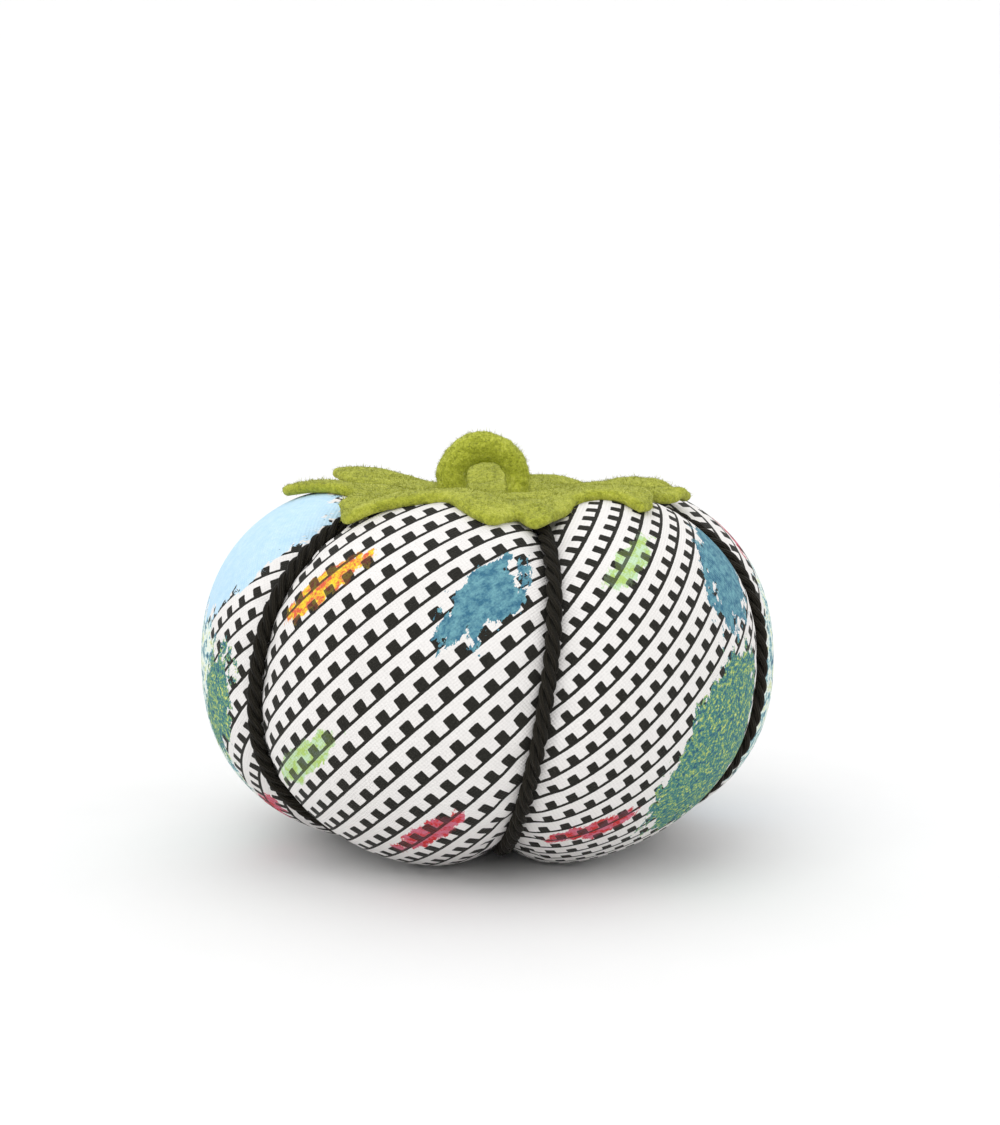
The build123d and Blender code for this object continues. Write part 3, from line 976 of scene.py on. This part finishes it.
def add_fuzz(name, piece, count, material):
    """Loose fibres that stand off a felt piece, each a thin closed hair."""
    a, b, c = (corner / MM for corner in triangle_corners(piece))
    normal = np.cross(b - a, c - a)
    size = np.linalg.norm(normal, axis=1)
    normal /= np.maximum(size, 1e-12)[:, None]
    chance = size * np.where(normal[:, 2] > -0.35, 1.0, 0.05)  # few of them underneath
    pick = RNG.choice(len(size), count, p=chance / chance.sum())
    share = RNG.dirichlet((1, 1, 1), count)
    root = a[pick] * share[:, :1] + b[pick] * share[:, 1:2] + c[pick] * share[:, 2:]
    lean = unit(RNG.normal(size=(count, 3)))
    first = unit(normal[pick] * 0.9 + lean * 0.75)
    bend = RNG.normal(size=(count, 3)) * 0.5
    length = RNG.uniform(*FIBRE_LENGTH, count)[:, None]
    thick = RNG.uniform(*FIBRE_RADIUS, count)
    side = unit(np.cross(first, RNG.normal(size=(count, 3))))
    other = np.cross(first, side)
    root = root - first * FIBRE_ROOT
    points = []
    for share, taper in ((0.0, 1.0), (0.55, 0.85)):
        centre = root + first * length * share + bend * length * share**2
        for angle in (0, 2 * math.pi / 3, 4 * math.pi / 3):
            ray = side * math.cos(angle) + other * math.sin(angle)
            points.append(centre + ray * (thick * taper)[:, None])
    points.append(root + first * length + bend * length)
    points = np.stack(points, 1).reshape(-1, 3)
    faces = [tuple(HAIR_POINTS * i + v for v in face) for i in range(count) for face in HAIR]
    tone = np.repeat(RNG.uniform(0, 60, (count, 3)), HAIR_POINTS, axis=0)  # each fibre its own
    finish_closed(make_object(name, points, faces), points + tone, material, "green_felt")


STEM_RINGS, STEM_SIDES = 110, 40
STEM_FOOT, STEM_SPRING, STEM_RISE = 54.54, 57.5, 4.8
STEM_MIDDLE, STEM_HALF_SPAN = -0.65, 5.2
STEM_LEG = 0.14  # the share of its length in each straight leg


def make_stem(material):
    """A rolled felt tube bent over, with both ends pressed on to the calyx."""
    count, sides, foot = STEM_RINGS, STEM_SIDES, STEM_FOOT
    share = np.linspace(0, 1, 400)
    angle = math.pi * np.clip((share - STEM_LEG) / (1 - 2 * STEM_LEG), 0, 1)
    x = STEM_MIDDLE - STEM_HALF_SPAN * np.cos(angle)
    z = STEM_SPRING + STEM_RISE * np.sin(angle)
    z = np.where(share < STEM_LEG, foot + (STEM_SPRING - foot) * share / STEM_LEG, z)
    z = np.where(share > 1 - STEM_LEG, foot + (STEM_SPRING - foot) * (1 - share) / STEM_LEG, z)
    y = 0.35 * np.sin(share * math.pi * 1.3 + 0.4) - 0.2
    path = np.stack([soften(values, 6, False) for values in (x, y, z)], -1)
    path[0, 2] = path[-1, 2] = foot
    run = arc_length(path)
    even = np.linspace(0, run[-1], count)
    path = resample(path, run, even)
    share = even / run[-1]
    radius = np.interp(share, (0, 0.2, 0.5, 0.78, 1), (2.4, 2.42, 2.45, 1.95, 1.85))
    spread = 0.28 * np.exp(-even / 0.7) + 0.28 * np.exp(-(even[-1] - even) / 0.7)
    groove = np.exp(-(((around(sides) - 2.6 + 0.25 * np.sin(share[:, None] * 7)) / 0.16) ** 2))
    radii = (radius + spread)[:, None] * np.ones(sides) - 0.28 * groove
    facing = np.tile([0.0, -1.0, 0.0], (count, 1))
    rings = tube_points(path, facing, radii, sides)
    lumps = 0.10 * waves(rings, 4.2, 21) + 0.06 * waves(rings, 1.5, 22)
    rings = tube_points(path, facing, radii + lumps - 0.05, sides)
    rings[..., 2] = np.maximum(rings[..., 2], foot)
    points = np.concatenate([rings.reshape(-1, 3), rings[:1].mean(1), rings[-1:].mean(1)])
    faces = grid_faces(count, sides, wrap=True)
    first, last = count * sides, (count - 1) * sides
    faces += [(first, i, (i + 1) % sides) for i in range(sides)]
    faces += [(first + 1, last + (i + 1) % sides, last + i) for i in range(sides)]
    piece = make_object("felt_stem", points, faces)
    finish_closed(piece, points, material, "green_felt", "stem_loop")
    add_fuzz("stem_fibres", piece, 3200, material)


PATCH_RADIUS, PATCH_THICK, PATCH_LOW, PATCH_SIDES = 9.5, 1.5, 0.5, 120
STITCH_GAP, FIRST_STITCH = 30, 19.3  # degrees


def make_patch(material):
    """The felt disc under the base, puckered a little where each stitch pulls."""
    sides, rim = PATCH_SIDES, np.linspace(math.pi / 2, 0.05, 7)
    rings = [(PATCH_RADIUS - 0.7 + 0.7 * math.sin(a), 0.72 * math.cos(a)) for a in rim]
    rings += [(r, 0.75) for r in np.linspace(PATCH_RADIUS - 1.1, 0.35, 20)]
    turn = around(sides)
    off_stitch = (np.degrees(turn) - FIRST_STITCH + STITCH_GAP / 2) % STITCH_GAP - STITCH_GAP / 2
    puck = np.exp(-((off_stitch / 5) ** 2))

    def layer(sign):
        grid = []
        for r, h in rings:
            pinch = 0.16 * puck * math.exp(-(((r - PATCH_RADIUS) / 1.4) ** 2))
            wide = r - 0.12 * puck * (r > PATCH_RADIUS - 1.5)
            z = PATCH_LOW + PATCH_THICK / 2 + sign * (h - pinch * (h > 0.1))
            grid.append(np.stack([wide * np.cos(turn), wide * np.sin(turn), z], -1))
        return np.stack(grid)

    # both layers share the outermost ring
    lower, upper = layer(-1), layer(1)[1:]
    lower[1:, :, 2] += 0.03 * waves(lower[1:], 1.6, 31)
    points = np.concatenate([lower, upper]).reshape(-1, 3)
    count = len(rings) * sides
    top = np.concatenate([np.arange(sides), np.arange(count, len(points))]).reshape(-1, sides).tolist()
    faces = grid_faces(len(rings), sides, wrap=True)
    for out, within in zip(top, top[1:]):
        for j in range(sides):
            k = (j + 1) % sides
            faces.append((out[j], within[j], within[k], out[k]))
    faces.append(tuple(range(count - sides, count)))
    faces.append(tuple(reversed(top[-1])))
    piece = make_object("felt_base_patch", points, faces)
    finish_closed(piece, points, material, "dark_felt", "base_patch")


def thread_material():
    s = Shader("black_thread", Roughness=0.7, Sheen_Weight=0.2)
    at = s.add("TexCoord").outputs["Object"]
    x, y, z = s.parts(at)
    twist = ((x + y + z) * 9000.0).sine()
    hair = s.noise(at, 5000.0, 3.0, 0.7)
    s.color(s.mix(hair * 0.8 + twist * 0.1, (0.008, 0.008, 0.009), (0.055, 0.05, 0.05)))
    s.bump(twist * 0.5 + hair, 0.00005, 0.8)
    return s.material


def filling_material():
    s = Shader("filling", Roughness=0.95, Sheen_Weight=0.3)
    at = s.add("TexCoord").outputs["Object"]
    wool = s.noise(at, 260.0, 5.0, 0.7)
    fibre = s.noise(at, 1800.0, 3.0, 0.7)
    s.color(s.mix(wool * 0.7 + fibre * 0.3, (0.62, 0.58, 0.50), (0.86, 0.84, 0.79)))
    s.bump(wool + fibre * 0.4, 0.0006, 0.8)
    return s.material


def paint_node(name, material):
    """A CAD node that stays as it is, with a better material."""
    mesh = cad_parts[name].data
    if not mesh.materials:
        mesh.materials.append(material)
    for i in range(len(mesh.materials)):
        mesh.materials[i] = material


# -------- camera, light, floor
LOOK = Vector((0, 0, 0.030))
CAMERA_DISTANCE, CAMERA_RISE = 0.270, math.radians(8.3)
LAMPS = (  # name, place, size, watts
    ("key", (-1.05, -1.35, 2.25), 2.1, 19.8),
    ("fill", (1.8, -1.05, 1.05), 2.1, 4.5),
    ("top", (0.15, 0.75, 2.4), 2.4, 10.8),
)
FLOOR_SIDES, FLOOR_FLAT, FLOOR_REACH, FLOOR_RISE = 96, 700, 2600, 1300


def make_stage():
    scene = bpy.context.scene
    scene.view_settings.view_transform = "Standard"
    camera = bpy.data.objects.new("camera", bpy.data.cameras.new("camera"))
    camera.location = LOOK + Vector((0, -math.cos(CAMERA_RISE), math.sin(CAMERA_RISE))) * CAMERA_DISTANCE
    camera.rotation_euler = (math.pi / 2 - CAMERA_RISE, 0, 0)
    camera.data.lens = 53.95
    camera.data.shift_x = 0.0102
    camera.data.shift_y = 0.0778
    camera.data.clip_start = 0.01
    scene.collection.objects.link(camera)
    scene.camera = camera

    world = bpy.data.worlds.new("studio")
    world.use_nodes = True
    sky = world.node_tree.nodes["Background"].inputs
    sky["Color"].default_value, sky["Strength"].default_value = (1.0, 1.0, 1.0, 1), 0.92
    scene.world = world
    for name, at, size, watts in LAMPS:
        light = bpy.data.lights.new(name, "AREA")
        light.size = size
        light.energy = watts
        lamp = bpy.data.objects.new(name, light)
        lamp.location = at
        lamp.rotation_euler = (LOOK - Vector(at)).to_track_quat("-Z", "Y").to_euler()
        scene.collection.objects.link(lamp)

    # a flat floor that curves up far away, so that no horizon shows from any side
    reach = np.concatenate([np.geomspace(60, FLOOR_FLAT, 10), np.linspace(760, FLOOR_REACH, 26)])
    share = np.maximum(reach - FLOOR_FLAT, 0) / (FLOOR_REACH - FLOOR_FLAT)
    height = FLOOR_RISE * share**2.2 - 0.05
    turn, out = around(FLOOR_SIDES), reach[:, None]
    rings = np.stack(np.broadcast_arrays(out * np.cos(turn), out * np.sin(turn), height[:, None]), -1)
    points = np.concatenate([rings.reshape(-1, 3), [[0, 0, -0.05]]])
    faces = grid_faces(len(reach), FLOOR_SIDES, wrap=True, flip=True)
    faces += [(len(points) - 1, j, (j + 1) % FLOOR_SIDES) for j in range(FLOOR_SIDES)]
    floor = make_object("floor", points, faces)
    s = Shader("floor", Roughness=0.75)
    at = s.add("TexCoord").outputs["Object"]
    s.color(s.mix(s.noise(at, 40.0, 3.0), (0.83, 0.83, 0.83), (0.86, 0.86, 0.86)))
    floor.data.materials.append(s.material)


CALYX_GREENS = (0.15, 0.17, 0.006), (0.34, 0.37, 0.021), (0.45, 0.48, 0.04), (0.58, 0.60, 0.09)
# the stem is the same felt as the calyx, painted lighter: painted light on the top piece, not a different
# felt
STEM_GREENS_PAINTED_LIGHTER = (0.19, 0.21, 0.008), (0.41, 0.45, 0.028), (0.53, 0.57, 0.055), (0.66, 0.69, 0.12)
PATCH_BLACKS = (0.008, 0.008, 0.009), (0.02, 0.02, 0.022), (0.035, 0.035, 0.038), (0.07, 0.07, 0.075)

make_stage()
make_gores(cotton_material())
make_cords(cord_material())
make_calyx(felt_material("green_felt", *CALYX_GREENS))
# the stem gets the lighter copy of the felt, which paints light on to it
make_stem(felt_material("stem_felt_painted_lighter", *STEM_GREENS_PAINTED_LIGHTER))
make_patch(felt_material("dark_felt", *PATCH_BLACKS))
thread = thread_material()
for name in ("tie_thread", "tie_knots", "base_patch_stitches"):
    paint_node(name, thread)
paint_node("stuffing", filling_material())
